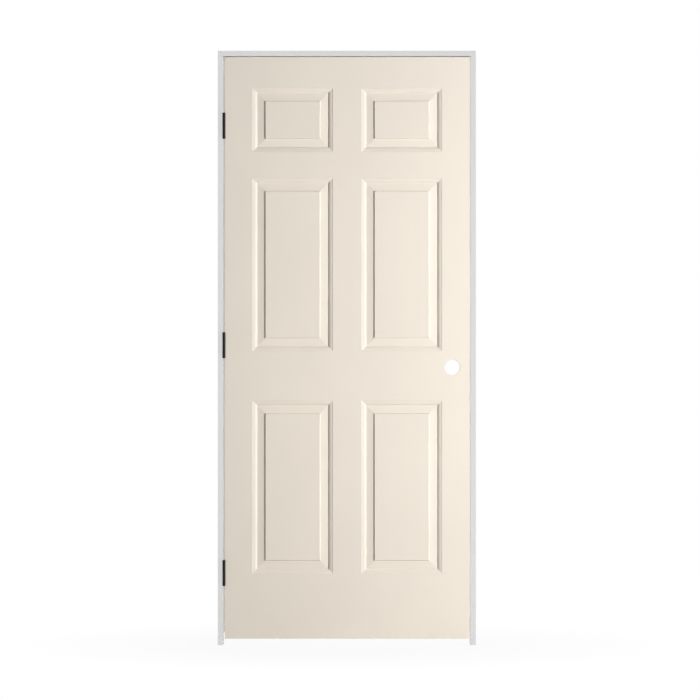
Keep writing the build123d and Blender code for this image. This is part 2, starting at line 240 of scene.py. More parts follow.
def primed_pine(name, grain_size, end_axis, box, paint_depth, finish):
    """Planed softwood under two thin coats of white primer, coloured grey as painted shade, bare at its ends
    and where it was cut later.
    """
    # The eye sees flat light grey, which is the white primer with painted shade in its colour, the long grain
    # faintly raised under the paint, and yellow wood at the ends and deeper in the board than paint_depth, in
    # the bore and the seats that are cut after the priming.
    shade_shares, stipple_share, chalk = (0.98, 1.012), 0.35, (0.68, 0.8)
    material, tree = new_material(name)
    place = add_node(tree, "ShaderNodeTexCoord").outputs["Object"]
    lines = add_node(tree, "ShaderNodeMapping", {"Vector": place, "Scale": repeats(*grain_size)})
    grain = add_node(tree, "ShaderNodeTexNoise", {"Vector": lines, "Scale": 1, "Detail": 4})
    spots = add_node(tree, "ShaderNodeMapping", {"Vector": place, "Scale": repeats(*[finish.spray_size] * 3)})
    stipple = add_node(tree, "ShaderNodeTexNoise", {"Vector": spots, "Scale": 1, "Detail": 2})
    height = add_node(
        tree, "ShaderNodeMath", {0: stipple, 1: stipple_share, 2: grain}, operation="MULTIPLY_ADD"
    )
    relief = add_node(
        tree, "ShaderNodeBump", {"Strength": 1, "Distance": finish.raised_grain, "Height": height}
    )
    streak = add_node(tree, "ShaderNodeMapRange", {"Value": grain, **ranges(NOISE_SPREAD, (0, 1))})
    # Painted shade: the grey of the frame's colour darkens the white primer.
    low, high = shades(finish.jamb_primer_and_painted_shade, shade_shares)
    paint = add_node(
        tree, "ShaderNodeMix", {MIX_SHARE: streak, MIX_FIRST: low, MIX_SECOND: high}, data_type="RGBA"
    )
    split = add_node(tree, "ShaderNodeSeparateXYZ", {0: place})
    within = []
    for axis, (low_side, high_side) in enumerate(zip(*box)):
        middle, half_size = (low_side + high_side) * HALF, (high_side - low_side) * HALF
        reach = half_size - (BARE_END if axis == end_axis else paint_depth)
        inputs = {0: split.outputs[axis], 1: middle, 2: reach}
        within.append(add_node(tree, "ShaderNodeMath", inputs, operation="COMPARE"))
    long_side = within.pop(end_axis)
    cut_later = add_node(tree, "ShaderNodeMath", dict(enumerate(within)), operation="MULTIPLY")
    painted = add_node(
        tree, "ShaderNodeMath", {0: long_side, 1: cut_later}, operation="SUBTRACT", use_clamp=True
    )
    layers = add_node(tree, "ShaderNodeMapping", {"Vector": place, "Scale": repeats(*finish.end_grain_size)})
    rings = add_node(tree, "ShaderNodeTexNoise", {"Vector": layers, "Scale": 1, "Detail": 2})
    late = add_node(tree, "ShaderNodeMapRange", {"Value": rings, **ranges(NOISE_SPREAD, (0, 1))})
    bare = add_node(
        tree,
        "ShaderNodeMix",
        {MIX_SHARE: late, MIX_FIRST: solid(finish.pine_late), MIX_SECOND: solid(finish.pine_early)},
        data_type="RGBA",
    )
    face = add_node(
        tree,
        "ShaderNodeMix",
        {MIX_SHARE: painted, MIX_FIRST: bare.outputs[MIX_RESULT], MIX_SECOND: paint.outputs[MIX_RESULT]},
        data_type="RGBA",
    )
    dull = add_node(tree, "ShaderNodeMapRange", {"Value": grain, **ranges(NOISE_SPREAD, chalk)})
    shader = add_node(
        tree,
        "ShaderNodeBsdfPrincipled",
        {
            "Base Color": face.outputs[MIX_RESULT],
            "Roughness": dull,
            "IOR": PRIMER_IOR,
            "Specular IOR Level": finish.primer_gleam,
            "Normal": relief,
        },
    )
    add_node(tree, "ShaderNodeOutputMaterial", {"Surface": shader})
    return material


def bare_pine(name, turn, finish):
    """Planed softwood without paint, its length along Z once turned."""
    # The eye sees pale yellow wood with browner growth lines a few millimetres apart along the board.
    heart = (21 * MM, 34 * MM, 0)
    stretch_shares = (1, 1, 0.03)
    warp_turns, late_power = 24, 2.2
    streak_shares, dryness = (0.86, 1.06), (0.55, 0.7)
    material, tree = new_material(name)
    place = add_node(tree, "ShaderNodeTexCoord").outputs["Object"]
    laid = add_node(tree, "ShaderNodeMapping", {"Vector": place, "Rotation": turn})
    bends = add_node(tree, "ShaderNodeMapping", {"Vector": laid, "Scale": repeats(*finish.warp_size)})
    warp = add_node(tree, "ShaderNodeTexNoise", {"Vector": bends, "Scale": 1, "Detail": 2})
    phase = add_node(tree, "ShaderNodeMath", {0: warp, 1: warp_turns}, operation="MULTIPLY")
    centred = add_node(tree, "ShaderNodeVectorMath", {0: laid, 1: heart}, operation="ADD")
    drawn = add_node(tree, "ShaderNodeMapping", {"Vector": centred, "Scale": stretch_shares})
    rings = add_node(
        tree,
        "ShaderNodeTexWave",
        {"Vector": drawn, "Scale": WAVE_LENGTH / finish.ring_width, "Phase Offset": phase},
        wave_type="RINGS",
        rings_direction="Z",
        wave_profile="SAW",
    )
    late = add_node(tree, "ShaderNodeMath", {0: rings.outputs["Fac"], 1: late_power}, operation="POWER")
    threads = add_node(tree, "ShaderNodeMapping", {"Vector": laid, "Scale": repeats(*finish.fibre_size)})
    fibre = add_node(tree, "ShaderNodeTexNoise", {"Vector": threads, "Scale": 1, "Detail": 3})
    wood = add_node(
        tree,
        "ShaderNodeMix",
        {MIX_SHARE: late, MIX_FIRST: solid(finish.pine_early), MIX_SECOND: solid(finish.pine_late)},
        data_type="RGBA",
    )
    dark, light = shades((1, 1, 1), streak_shares)
    streak = add_node(
        tree, "ShaderNodeMix", {MIX_SHARE: fibre, MIX_FIRST: dark, MIX_SECOND: light}, data_type="RGBA"
    )
    tone = add_node(
        tree,
        "ShaderNodeMix",
        {MIX_SHARE: 1, MIX_FIRST: wood.outputs[MIX_RESULT], MIX_SECOND: streak.outputs[MIX_RESULT]},
        data_type="RGBA",
        blend_type="MULTIPLY",
    )
    relief = add_node(
        tree, "ShaderNodeBump", {"Strength": 1, "Distance": finish.raised_grain, "Height": fibre}
    )
    dull = add_node(tree, "ShaderNodeMapRange", {"Value": fibre, **ranges(NOISE_SPREAD, dryness)})
    shader = add_node(
        tree,
        "ShaderNodeBsdfPrincipled",
        {
            "Base Color": tone.outputs[MIX_RESULT],
            "Roughness": dull,
            "IOR": FIBRE_IOR,
            "Normal": relief,
        },
    )
    add_node(tree, "ShaderNodeOutputMaterial", {"Surface": shader})
    return material


def kraft_paper(finish):
    """Unbleached paper, glued into cells."""
    # The eye sees matt brown with short paler and darker fibres.
    fibre_size = (4 * MM, 0.8 * MM, 1.2 * MM)
    shade_shares, dryness = (0.8, 1.15), (0.75, 0.9)
    material, tree = new_material("brown_kraft_paper")
    place = add_node(tree, "ShaderNodeTexCoord").outputs["Object"]
    threads = add_node(tree, "ShaderNodeMapping", {"Vector": place, "Scale": repeats(*fibre_size)})
    fibres = add_node(tree, "ShaderNodeTexNoise", {"Vector": threads, "Scale": 1, "Detail": 4})
    low, high = shades(finish.kraft_colour, shade_shares)
    paper = add_node(
        tree, "ShaderNodeMix", {MIX_SHARE: fibres, MIX_FIRST: low, MIX_SECOND: high}, data_type="RGBA"
    )
    dull = add_node(tree, "ShaderNodeMapRange", {"Value": fibres, **ranges(NOISE_SPREAD, dryness)})
    shader = add_node(
        tree,
        "ShaderNodeBsdfPrincipled",
        {"Base Color": paper.outputs[MIX_RESULT], "Roughness": dull, "IOR": FIBRE_IOR},
    )
    add_node(tree, "ShaderNodeOutputMaterial", {"Surface": shader})
    return material


def black_steel(name, gleam, finish):
    """Pressed steel under a thin baked black coat, its roughness spread over gleam."""
    # The eye sees near-black with a weak satin gleam, broken by the coat's fine orange peel.
    cloud_size = (9 * MM, 9 * MM, 14 * MM)
    shade_shares = (0.85, 1.2)
    material, tree = new_material(name)
    place = add_node(tree, "ShaderNodeTexCoord").outputs["Object"]
    ripples = add_node(
        tree, "ShaderNodeMapping", {"Vector": place, "Scale": repeats(*[finish.peel_size] * 3)}
    )
    peel = add_node(tree, "ShaderNodeTexNoise", {"Vector": ripples, "Scale": 1, "Detail": 2})
    relief = add_node(
        tree, "ShaderNodeBump", {"Strength": 1, "Distance": finish.peel_depth, "Height": peel}
    )
    drifts = add_node(tree, "ShaderNodeMapping", {"Vector": place, "Scale": repeats(*cloud_size)})
    cloud = add_node(tree, "ShaderNodeTexNoise", {"Vector": drifts, "Scale": 1, "Detail": 3})
    mottle = add_node(tree, "ShaderNodeMapRange", {"Value": cloud, **ranges(NOISE_SPREAD, (0, 1))})
    low, high = shades(finish.hinge_colour, shade_shares)
    enamel = add_node(
        tree, "ShaderNodeMix", {MIX_SHARE: mottle, MIX_FIRST: low, MIX_SECOND: high}, data_type="RGBA"
    )
    dull = add_node(tree, "ShaderNodeMapRange", {"Value": cloud, **ranges(NOISE_SPREAD, gleam)})
    shader = add_node(
        tree,
        "ShaderNodeBsdfPrincipled",
        {
            "Base Color": enamel.outputs[MIX_RESULT],
            "Roughness": dull,
            "IOR": COAT_IOR,
            "Specular IOR Level": finish.hinge_gleam,
            "Normal": relief,
        },
    )
    add_node(tree, "ShaderNodeOutputMaterial", {"Surface": shader})
    return material


def galvanised_wire(finish):
    """Drawn steel wire with a zinc coat."""
    # The eye sees dull silver with faint crystals in the zinc.
    crystal_size = 2.5 * MM
    shade_shares, gleam = (0.85, 1.05), (0.3, 0.45)
    material, tree = new_material("galvanised_steel_wire")
    place = add_node(tree, "ShaderNodeTexCoord").outputs["Object"]
    spangle = add_node(tree, "ShaderNodeTexVoronoi", {"Vector": place, "Scale": 1 / crystal_size})
    tint = add_node(tree, "ShaderNodeRGBToBW", {0: spangle.outputs["Color"]})
    low, high = shades(finish.wire_colour, shade_shares)
    zinc = add_node(
        tree, "ShaderNodeMix", {MIX_SHARE: tint, MIX_FIRST: low, MIX_SECOND: high}, data_type="RGBA"
    )
    dull = add_node(tree, "ShaderNodeMapRange", {"Value": tint, **ranges((0, 1), gleam)})
    shader = add_node(
        tree,
        "ShaderNodeBsdfPrincipled",
        {"Base Color": zinc.outputs[MIX_RESULT], "Metallic": 1, "Roughness": dull},
    )
    add_node(tree, "ShaderNodeOutputMaterial", {"Surface": shader})
    return material


def coat(piece, material):
    """Gives a piece or a CAD node one material."""
    piece.data.materials.clear()
    piece.data.materials.append(material)


def coat_nodes(names, material):
    """Gives CAD nodes one material."""
    for name in names:
        coat(frame["nodes"][name], material)


def pick(piece):
    """Leaves only this piece selected, and active."""
    bpy.ops.object.select_all(action="DESELECT")
    piece.select_set(True)
    bpy.context.view_layer.objects.active = piece


def open_edit(piece):
    """Starts editing a piece with nothing of it selected."""
    pick(piece)
    bpy.ops.object.mode_set(mode="EDIT")
    bpy.ops.mesh.select_mode(type="FACE")
    bpy.ops.mesh.select_all(action="DESELECT")


def close_edit():
    """Ends editing."""
    bpy.ops.object.mode_set(mode="OBJECT")


def select_faces(piece, wanted):
    """In edit mode, selects the faces that the test picks."""
    shape = bmesh.from_edit_mesh(piece.data)
    for face in shape.faces:
        face.select_set(wanted(face))
    if not any(face.select for face in shape.faces):
        raise RuntimeError(f"{piece.name} has no face of the kind that is shaped next")
    shape.select_flush_mode()
    bmesh.update_edit_mesh(piece.data)


def add_tool(name):
    """Names the primitive that was just added, with its place applied to its mesh."""
    piece = bpy.context.object
    piece.name = name
    pick(piece)
    bpy.ops.object.transform_apply(location=True, rotation=True, scale=True)
    return piece


def cut(piece, cutter):
    """Cuts one closed mesh out of another and removes the cutter."""
    faces_before = len(piece.data.polygons)
    pick(piece)
    bpy.ops.object.modifier_add(type="BOOLEAN")
    change = piece.modifiers[-1]
    change.operation = "DIFFERENCE"
    change.object = cutter
    bpy.ops.object.modifier_apply(modifier=change.name)
    if len(piece.data.polygons) == faces_before:
        raise RuntimeError(f"{cutter.name} cut nothing out of {piece.name}")
    bpy.data.objects.remove(cutter)


def round_edges(piece, width, segments):
    """Rounds the sharp edges of a piece."""
    pick(piece)
    bpy.ops.object.modifier_add(type="BEVEL")
    rounding = piece.modifiers[-1]
    rounding.width = width
    rounding.segments = segments
    rounding.limit_method = "ANGLE"
    rounding.angle_limit = SMOOTH_ANGLE
    bpy.ops.object.modifier_apply(modifier=rounding.name)


def sharpen_mitres(piece):
    """Keeps an edge sharp where the faces of a moulding start to lean another way."""
    open_edit(piece)
    bpy.ops.mesh.select_mode(type="EDGE")
    shape = bmesh.from_edit_mesh(piece.data)
    for edge in shape.edges:
        normals = [face.normal for face in edge.link_faces]
        leans = {(abs(normal.x) > LEAN_SHARE, abs(normal.z) > LEAN_SHARE) for normal in normals}
        edge.select_set(len(leans) > 1 and all(abs(normal.y) > LEAN_SHARE for normal in normals))
    shape.select_flush_mode()
    bmesh.update_edit_mesh(piece.data)
    bpy.ops.mesh.mark_sharp()
    close_edit()


def shade(piece):
    """Shades the rounded edges of a piece smooth, with its flat faces left flat."""
    pick(piece)
    bpy.ops.object.shade_smooth_by_angle(angle=SMOOTH_ANGLE)
    bpy.ops.object.modifier_add(type="WEIGHTED_NORMAL")
    weighing = piece.modifiers[-1]
    weighing.keep_sharp = True
    bpy.ops.object.modifier_apply(modifier=weighing.name)


def merged_copy(node, name):
    """A copy of a CAD node as one closed mesh with whole flat faces."""
    piece = frame["nodes"][node].copy()
    piece.data = piece.data.copy()
    piece.parent = None
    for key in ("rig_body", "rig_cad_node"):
        del piece[key]
    piece.name = name
    bpy.context.scene.collection.objects.link(piece)
    open_edit(piece)
    bpy.ops.mesh.select_all(action="SELECT")
    bpy.ops.mesh.remove_doubles(threshold=MERGE_DISTANCE)
    bpy.ops.mesh.dissolve_limited(angle_limit=FLAT_ANGLE)
    close_edit()
    return piece


def screw_places(hinge, kind, face_x, sizes):
    """Centres of the screw heads on a leaf's face, top, middle and bottom."""
    low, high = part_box(f"{hinge}_hinge_{kind}_leaf")
    middle_z = (low.z + high.z) * HALF
    return [
        Vector((face_x, pin_y + sizes.screw_reach, middle_z + sizes.screw_spread)),
        Vector((face_x, pin_y + sizes.middle_screw_reach, middle_z)),
        Vector((face_x, pin_y + sizes.screw_reach, middle_z - sizes.screw_spread)),
    ]


class DoorFinish(bpy.types.PropertyGroup):
    """Colours and surface sizes."""

    skin_colour: bpy.props.FloatVectorProperty(
        name="Skin primer", description="Cream primer on the pressed skins",
        subtype="COLOR", min=0, max=1, default=linear("#E8DFD2"),
    )
    # Painted shade: the frame's primer is white, and this grey colour stands in for the shade that falls on
    # it.
    jamb_primer_and_painted_shade: bpy.props.FloatVectorProperty(
        name="Frame primer", description="Grey primer on the jambs and stops",
        subtype="COLOR", min=0, max=1, default=linear("#DCDCDC"),
    )
    pine_early: bpy.props.FloatVectorProperty(
        name="Pine", description="Pale wood between the growth lines",
        subtype="COLOR", min=0, max=1, default=linear("#E6CB9C"),
    )
    pine_late: bpy.props.FloatVectorProperty(
        name="Pine lines", description="Browner wood of the growth lines",
        subtype="COLOR", min=0, max=1, default=linear("#C79A61"),
    )
    kraft_colour: bpy.props.FloatVectorProperty(
        name="Kraft paper", description="Paper of the core",
        subtype="COLOR", min=0, max=1, default=linear("#AE8458"),
    )
    hinge_colour: bpy.props.FloatVectorProperty(
        name="Hinge coat", description="Black coat on the hinges and their screws",
        subtype="COLOR", min=0, max=1, default=linear("#161414"),
    )
    wire_colour: bpy.props.FloatVectorProperty(
        name="Staple wire", description="Zinc on the staples",
        subtype="COLOR", min=0, max=1, default=linear("#C3C5C6"),
    )
    primer_gleam: bpy.props.FloatProperty(
        name="Primer gleam", description="Strength of the flat primer's shine", subtype="FACTOR", default=0.08
    )
    hinge_gleam: bpy.props.FloatProperty(
        name="Hinge gleam", description="Strength of the black coat's shine", subtype="FACTOR", default=0.2
    )
    pressed_round: bpy.props.FloatProperty(
        name="Pressed edges", description="Rounding on the edges of the pressed skins", unit="LENGTH",
        default=0.45 * MM,
    )
    ovolo_depths: bpy.props.FloatVectorProperty(
        name="Ovolo", description="Depths at which the ovolos start and end on the packed skins",
        unit="LENGTH", size=2, default=(3.0 * MM, 5.2 * MM),
    )
    full_ovolo_depths: bpy.props.FloatVectorProperty(
        name="Full ovolo", description="Depths at which the ovolos start and end once pressed fuller",
        unit="LENGTH", size=2, default=(1.4 * MM, 6.0 * MM),
    )
    jamb_paint_depth: bpy.props.FloatProperty(
        name="Jamb paint", description="Depth in a jamb past which cut wood is bare", unit="LENGTH",
        default=1.0 * MM,
    )
    stop_paint_depth: bpy.props.FloatProperty(
        name="Stop paint", description="Depth in a stop past which cut wood is bare, more than its moulding",
        unit="LENGTH", default=40 * MM,
    )
    spray_size: bpy.props.FloatProperty(
        name="Primer stipple", description="Size of the primer's stipple", unit="LENGTH", default=1.6 * MM
    )
    spray_depth: bpy.props.FloatProperty(
        name="Stipple depth", description="Depth of the skin primer's stipple", unit="LENGTH",
        default=0.03 * MM,
    )
    cloud_size: bpy.props.FloatVectorProperty(
        name="Primer clouds", description="Size of the thicker patches of primer", subtype="XYZ",
        unit="LENGTH", default=(0.16, 0.16, 0.26),
    )
    grain_width: bpy.props.FloatProperty(
        name="Grain width", description="Width of the grain lines under the frame's primer", unit="LENGTH",
        default=3 * MM,
    )
    grain_length: bpy.props.FloatProperty(
        name="Grain length", description="Length of the grain lines under the frame's primer", unit="LENGTH",
        default=0.2,
    )
    raised_grain: bpy.props.FloatProperty(
        name="Raised grain", description="Height of the grain on planed wood", unit="LENGTH",
        default=0.08 * MM,
    )
    end_grain_size: bpy.props.FloatVectorProperty(
        name="End grain", description="Size of the growth lines on a cut end", subtype="XYZ", unit="LENGTH",
        default=(0.05, 0.004, 0.05),
    )
    warp_size: bpy.props.FloatVectorProperty(
        name="Grain bends", description="Size of the bends in the growth lines", subtype="XYZ", unit="LENGTH",
        default=(0.05, 0.05, 0.6),
    )
    fibre_size: bpy.props.FloatVectorProperty(
        name="Wood fibres", description="Size of the fibres in bare wood", subtype="XYZ", unit="LENGTH",
        default=(0.9 * MM, 0.9 * MM, 0.045),
    )
    ring_width: bpy.props.FloatProperty(
        name="Ring width", description="Distance between growth lines", unit="LENGTH", default=3.6 * MM
    )
    peel_size: bpy.props.FloatProperty(
        name="Orange peel", description="Size of the black coat's ripple", unit="LENGTH", default=0.9 * MM
    )
    peel_depth: bpy.props.FloatProperty(
        name="Peel depth", description="Depth of the black coat's ripple", unit="LENGTH", default=0.02 * MM
    )


class DoorHinges(bpy.types.PropertyGroup):
    """Sizes of the hinge fittings."""

    screw_reach: bpy.props.FloatProperty(
        name="Screw reach", description="Pin to the outer screws", unit="LENGTH", default=26 * MM
    )
    middle_screw_reach: bpy.props.FloatProperty(
        name="Middle screw reach", description="Pin to the middle screw", unit="LENGTH", default=36 * MM
    )
    screw_spread: bpy.props.FloatProperty(
        name="Screw spread", description="Leaf's middle to the outer screws", unit="LENGTH", default=29 * MM
    )
    head_radius: bpy.props.FloatProperty(
        name="Screw head", description="Radius of a screw's head", unit="LENGTH", default=3.9 * MM
    )
    head_rim: bpy.props.FloatProperty(
        name="Screw rim", description="Height of the head's straight rim", unit="LENGTH", default=0.25 * MM
    )
    head_depth: bpy.props.FloatProperty(
        name="Screw cone", description="Depth of the head's cone", unit="LENGTH", default=1.9 * MM
    )
    shank_radius: bpy.props.FloatProperty(
        name="Screw shank", description="Radius of a screw's shank", unit="LENGTH", default=2.0 * MM
    )
    shank_length: bpy.props.FloatProperty(
        name="Shank length", description="Length of the straight shank", unit="LENGTH", default=11 * MM
    )
    tip_length: bpy.props.FloatProperty(
        name="Screw tip", description="Length of a screw's point", unit="LENGTH", default=3.5 * MM
    )
    recess_length: bpy.props.FloatProperty(
        name="Recess length", description="Span of the cross recess", unit="LENGTH", default=4.2 * MM
    )
    recess_width: bpy.props.FloatProperty(
        name="Recess width", description="Width of each slot of the recess", unit="LENGTH", default=0.9 * MM
    )
    recess_depth: bpy.props.FloatProperty(
        name="Recess depth", description="Depth of the cross recess", unit="LENGTH", default=1.2 * MM
    )
    hole_gap: bpy.props.FloatProperty(
        name="Countersink gap", description="Room round a screw's head", unit="LENGTH", default=0.15 * MM
    )
    edge_round: bpy.props.FloatProperty(
        name="Leaf edge", description="Rounding on the edges of the leaves", unit="LENGTH", default=0.25 * MM
    )
    dome_round: bpy.props.FloatProperty(
        name="Pin dome", description="Rounding on the head of a pin", unit="LENGTH", default=0.9 * MM
    )


class DoorStudio(bpy.types.PropertyGroup):
    """The camera, the lamps and the floor."""

    picture_width: bpy.props.FloatProperty(
        name="Picture width", description="Width seen at the slab's face", unit="LENGTH", default=2445.66 * MM
    )
    camera_x: bpy.props.FloatProperty(
        name="Camera across", description="Camera's place across the door", unit="LENGTH", default=11.16 * MM
    )
    camera_height: bpy.props.FloatProperty(
        name="Camera height", description="Camera above the floor", unit="LENGTH", default=1030.8 * MM
    )
    camera_distance: bpy.props.FloatProperty(
        name="Camera distance", description="Camera to the slab's face", unit="LENGTH", default=14.0
    )
    near_place: bpy.props.FloatVectorProperty(
        name="Near lamp", description="Place of the near raking lamp", subtype="XYZ",
        default=(2.3, -2.2, 1.25),
    )
    near_size: bpy.props.FloatProperty(
        name="Near size", description="Side of the near raking lamp", unit="LENGTH", default=0.25
    )
    near_power: bpy.props.FloatProperty(
        name="Near power", description="Power of the near raking lamp", unit="POWER", default=44
    )
    far_place: bpy.props.FloatVectorProperty(
        name="Far lamp", description="Place of the far raking lamp", subtype="XYZ", default=(5.75, -5.65, 1.5)
    )
    far_size: bpy.props.FloatProperty(
        name="Far size", description="Side of the far raking lamp", unit="LENGTH", default=0.7
    )
    far_power: bpy.props.FloatProperty(
        name="Far power", description="Power of the far raking lamp", unit="POWER", default=380
    )
    frame_place: bpy.props.FloatVectorProperty(
        name="Frame lamps", description="Place of the right front one of the four lamps for the frame",
        subtype="XYZ", default=(5.5, -5.85, 1.2),
    )
    frame_size: bpy.props.FloatProperty(
        name="Frame lamp size", description="Side of the lamps for the frame", unit="LENGTH", default=0.7
    )
    frame_power: bpy.props.FloatProperty(
        name="Frame power", description="Power of each lamp for the frame", unit="POWER", default=297
    )
    front_place: bpy.props.FloatVectorProperty(
        name="Front lamp", description="Place of the lamp by the camera", subtype="XYZ",
        default=(0.3, -9.0, 1.3),
    )
    front_size: bpy.props.FloatProperty(
        name="Front size", description="Side of the lamp by the camera", unit="LENGTH", default=1.0
    )
    front_power: bpy.props.FloatProperty(
        name="Front power", description="Power of the lamp by the camera", unit="POWER", default=88
    )
    top_place: bpy.props.FloatVectorProperty(
        name="Top lamp", description="Place of the lamp above", subtype="XYZ", default=(0, 1.4, 4.6)
    )
    top_size: bpy.props.FloatProperty(
        name="Top size", description="Side of the lamp above", unit="LENGTH", default=1.5
    )
    top_power: bpy.props.FloatProperty(
        name="Top power", description="Power of the lamp above", unit="POWER", default=45
    )
    sky_level: bpy.props.FloatProperty(
        name="Room light", description="Even light from all round", default=0.085
    )
    floor_radius: bpy.props.FloatProperty(
        name="Floor", description="Radius of the floor", unit="LENGTH", default=30.0
    )
    floor_colour: bpy.props.FloatVectorProperty(
        name="Floor colour", description="Pale studio floor", subtype="COLOR", min=0, max=1,
        default=linear("#B4B4B4"),
    )
    shade_reach: bpy.props.FloatVectorProperty(
        name="Shadow reach", description="Where the floor's shadows start and end fading, from the middle",
        unit="LENGTH", size=2, default=(0.5, 1.2),
    )
    shade_share: bpy.props.FloatProperty(
        name="Shadow share", description="How much of the lit floor shows", subtype="FACTOR", default=0.06
    )


class DOOR_OT_skins(bpy.types.Operator):
    """Presses the ovolos of the skins fuller, rounds their arrises and primes them"""

    bl_idname = "door.skins"
    bl_label = "Skins"

    def execute(self, context):
        finish = context.scene.door_finish
        primer = primed_hardboard(finish)
        for node, outward in (("front_skin", -1), ("back_skin", 1)):
            skin = merged_copy(node, f"{node}_pressed")
            self.fill_ovolos(skin, outward, finish)
            round_edges(skin, finish.pressed_round, SKIN_STEPS)
            sharpen_mitres(skin)
            shade(skin)
            coat(skin, primer)
            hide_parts(node)
            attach(skin, "door")
        return {"FINISHED"}

    def fill_ovolos(self, skin, outward, finish):
        """Makes the ovolos of a skin steeper, between the walls on either side of them."""
        face_y = max(corner.co.y * outward for corner in skin.data.vertices) * outward
        start, end = finish.ovolo_depths
        full_start, full_end = finish.full_ovolo_depths
        stretch_share = (full_end - full_start) / (end - start)
        still_depth = (stretch_share * start - full_start) / (stretch_share - 1)

        def on_ovolo(face):
            depth = (face_y - face.calc_center_median().y) * outward
            return face.normal.y * outward > FACING_SHARE and start < depth < end

        open_edit(skin)
        select_faces(skin, on_ovolo)
        bpy.ops.transform.resize(
            value=(1, stretch_share, 1), center_override=(0, face_y - outward * still_depth, 0)
        )
        close_edit()


class DOOR_OT_frame(bpy.types.Operator):
    """Primes the jambs and the stops"""

    bl_idname = "door.frame"
    bl_label = "Frame"

    def execute(self, context):
        finish = context.scene.door_finish
        width, length = finish.grain_width, finish.grain_length
        upright, level = (width, width, length), (length, width, width)
        for node in FRAME_TIMBER:
            name = f"primed_pine_{node}"
            grain_size, end_axis = (level, 0) if node.startswith("head") else (upright, 2)
            paint_depth = finish.jamb_paint_depth if node.endswith("jamb") else finish.stop_paint_depth
            pine = primed_pine(name, grain_size, end_axis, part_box(node), paint_depth, finish)
            coat_nodes((node,), pine)
        return {"FINISHED"}


class DOOR_OT_timber(bpy.types.Operator):
    """Finishes the bare timber between the skins"""

    bl_idname = "door.timber"
    bl_label = "Timber"

    def execute(self, context):
        finish = context.scene.door_finish
        upright = bare_pine("bare_pine_upright", (0, 0, 0), finish)
        level = bare_pine("bare_pine_level", (0, QUARTER_TURN, 0), finish)
        coat_nodes(("hinge_stile", "lock_stile", "lock_block"), upright)
        coat_nodes(("top_rail", "bottom_rail"), level)
        return {"FINISHED"}


class DOOR_OT_core(bpy.types.Operator):
    """Finishes the paper core"""

    bl_idname = "door.core"
    bl_label = "Core"

    def execute(self, context):
        coat_nodes(("honeycomb_core",), kraft_paper(context.scene.door_finish))
        return {"FINISHED"}


class DOOR_OT_staples(bpy.types.Operator):
    """Finishes the staples at the head"""

    bl_idname = "door.staples"
    bl_label = "Staples"

    def execute(self, context):
        coat_nodes(("head_staples",), galvanised_wire(context.scene.door_finish))
        return {"FINISHED"}


class DOOR_OT_leaves(bpy.types.Operator):
    """Countersinks the hinge leaves and softens their edges"""

    bl_idname = "door.leaves"
    bl_label = "Hinge leaves"

    def execute(self, context):
        sizes = context.scene.door_hinges
        black = black_steel("black_coated_hinge_steel", LEAF_GLEAM, context.scene.door_finish)
        drop = sizes.head_rim + sizes.head_depth
        slope = (sizes.head_radius - sizes.shank_radius) / sizes.head_depth
        mouth = sizes.head_radius + sizes.hole_gap + slope * CUT_OVERRUN
        depth = drop + 2 * CUT_OVERRUN + sizes.head_rim
        for hinge in HINGES:
            for kind, (face_x, turn, body) in LEAVES.items():
                node = f"{hinge}_hinge_{kind}_leaf"
                leaf = merged_copy(node, f"{node}_countersunk")
                facing = Matrix.Rotation(turn, 4, "Z") @ Vector((1, 0, 0))
                for centre in screw_places(hinge, kind, face_x, sizes):
                    bpy.ops.mesh.primitive_cone_add(
                        vertices=COUNTERSINK_SIDES,
                        radius1=mouth - slope * depth,
                        radius2=mouth,
                        depth=depth,
                        location=centre + facing * (CUT_OVERRUN - depth * HALF),
                        rotation=(0, QUARTER_TURN, turn),
                    )
                    cut(leaf, add_tool("countersink"))
                round_edges(leaf, sizes.edge_round, LEAF_STEPS)
                shade(leaf)
                coat(leaf, black)
                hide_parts(node)
                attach(leaf, body)
        return {"FINISHED"}


class DOOR_OT_pins(bpy.types.Operator):
    """Makes the loose pins with rounded heads"""

    bl_idname = "door.pins"
    bl_label = "Hinge pins"

    def execute(self, context):
        sizes = context.scene.door_hinges
        black = black_steel("black_coated_pin_steel", PIN_GLEAM, context.scene.door_finish)
        for hinge in HINGES:
            node = f"{hinge}_hinge_pin"
            low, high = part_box(node)
            leaf_low, leaf_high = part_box(f"{hinge}_hinge_jamb_leaf")
            head_radius = (high.x - low.x) * HALF
            head_height = high.z - leaf_high.z
            shank_radius = head_radius * HALF
            bpy.ops.mesh.primitive_cylinder_add(
                vertices=PIN_SIDES,
                radius=head_radius,
                depth=head_height,
                location=(pin_x, pin_y, high.z - head_height * HALF),
            )
            pin = add_tool(f"{node}_domed")
            open_edit(pin)
            select_faces(pin, lambda face: face.normal.z > FACING_SHARE)
            bpy.ops.mesh.bevel(offset=sizes.dome_round, segments=DOME_STEPS, affect="EDGES")
            bpy.ops.mesh.select_all(action="DESELECT")
            select_faces(pin, lambda face: face.normal.z < -FACING_SHARE)
            bpy.ops.mesh.inset(thickness=head_radius - shank_radius)
            bpy.ops.mesh.extrude_region_move(
                TRANSFORM_OT_translate={"value": (0, 0, leaf_low.z - leaf_high.z)}
            )
            bpy.ops.mesh.extrude_region_move(TRANSFORM_OT_translate={"value": (0, 0, low.z - leaf_low.z)})
            bpy.ops.mesh.inset(thickness=shank_radius * HALF)
            close_edit()
            pick(pin)
            bpy.ops.object.shade_smooth_by_angle(angle=SMOOTH_ANGLE)
            coat(pin, black)
            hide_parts(node)
            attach(pin, "frame")
        return {"FINISHED"}


